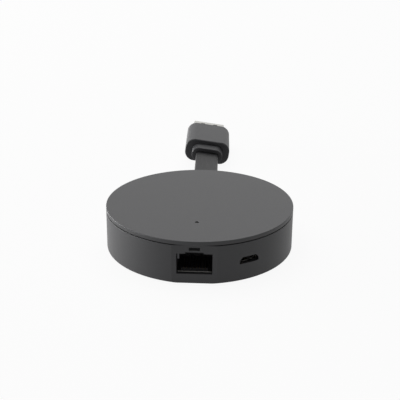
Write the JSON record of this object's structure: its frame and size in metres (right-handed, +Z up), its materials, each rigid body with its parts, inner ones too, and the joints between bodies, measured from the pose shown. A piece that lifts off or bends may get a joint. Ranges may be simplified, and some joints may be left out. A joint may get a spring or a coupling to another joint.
{
  "type": "streaming stick",
  "caption": "Round streaming puck with network and power sockets in its rim and a video plug on a short flat lead.",
  "frame": {"origin": "middle of the foot pad's underside, on the surface that the puck rests on", "axes": "+Z up through the top cover; -Y out of the network socket; +Y along the lead towards the video plug"},
  "size_m": [0.065, 0.1482, 0.0154],
  "materials": {
    "case_plastic": "fine satin moulded texture",
    "soft_plastic": "satin",
    "lead_jacket": "satin extruded jacket",
    "foot_rubber": "matte",
    "screw_steel": "zinc plated",
    "board_laminate": "solder mask",
    "chip_resin": "moulded resin",
    "thermal_silicone": "matte",
    "spreader_aluminium": "rolled",
    "jack_plastic": "glass filled",
    "shield_steel": "nickel plated",
    "contact_gold": "gold plated",
    "ferrite": "sintered",
    "capacitor_aluminium": "drawn can",
    "ceramic": "fired",
    "clear_plastic": "clear moulded",
    "wire_jacket": "extruded",
    "inner_mould_plastic": "moulded"
  },
  "bodies": {
    "puck": {"top_cover": "case_plastic", "base_shell": "case_plastic", "cable_gland": "soft_plastic", "flat_lead": "lead_jacket", "foot_pad": "foot_rubber", "case_screws": "screw_steel", "main_board": "board_laminate", "radio_module": "board_laminate", "processor": "chip_resin", "memory_chips": "chip_resin", "flash_chip": "chip_resin", "network_chip": "chip_resin", "power_chip": "chip_resin", "network_transformer": "chip_resin", "thermal_pad": "thermal_silicone", "heat_spreader": "spreader_aluminium", "network_jack_body": "jack_plastic", "power_socket_tongue": "jack_plastic", "lead_connector": "jack_plastic", "network_jack_shield": "shield_steel", "power_socket_shell": "shield_steel", "radio_shield": "shield_steel", "crystals": "shield_steel", "network_contacts": "contact_gold", "power_contacts": "contact_gold", "antennas": "contact_gold", "power_inductors": "ferrite", "bulk_capacitors": "capacitor_aluminium", "chip_capacitors": "ceramic", "chip_resistors": "chip_resin", "status_light": "clear_plastic", "light_pipe": "clear_plastic", "lead_conductors": "wire_jacket"},
    "plug": {"plug_grip": "case_plastic", "plug_boot": "soft_plastic", "plug_inner_mould": "inner_mould_plastic", "plug_card": "board_laminate", "plug_conductors": "wire_jacket", "video_shell": "shield_steel", "video_insert": "jack_plastic", "video_contacts_upper": "contact_gold", "video_contacts_lower": "contact_gold"}
  },
  "joints": [
    {"name": "lead_bend", "type": "hinge", "parent": "puck", "child": "plug", "pos_m": [-0.00047, 0.0528, 0.00663], "axis": [1, 0, 0], "range_deg": [0, 90], "stiffness_Nm_per_rad": 0.02, "deforming": ["flat_lead"]}
  ]
}
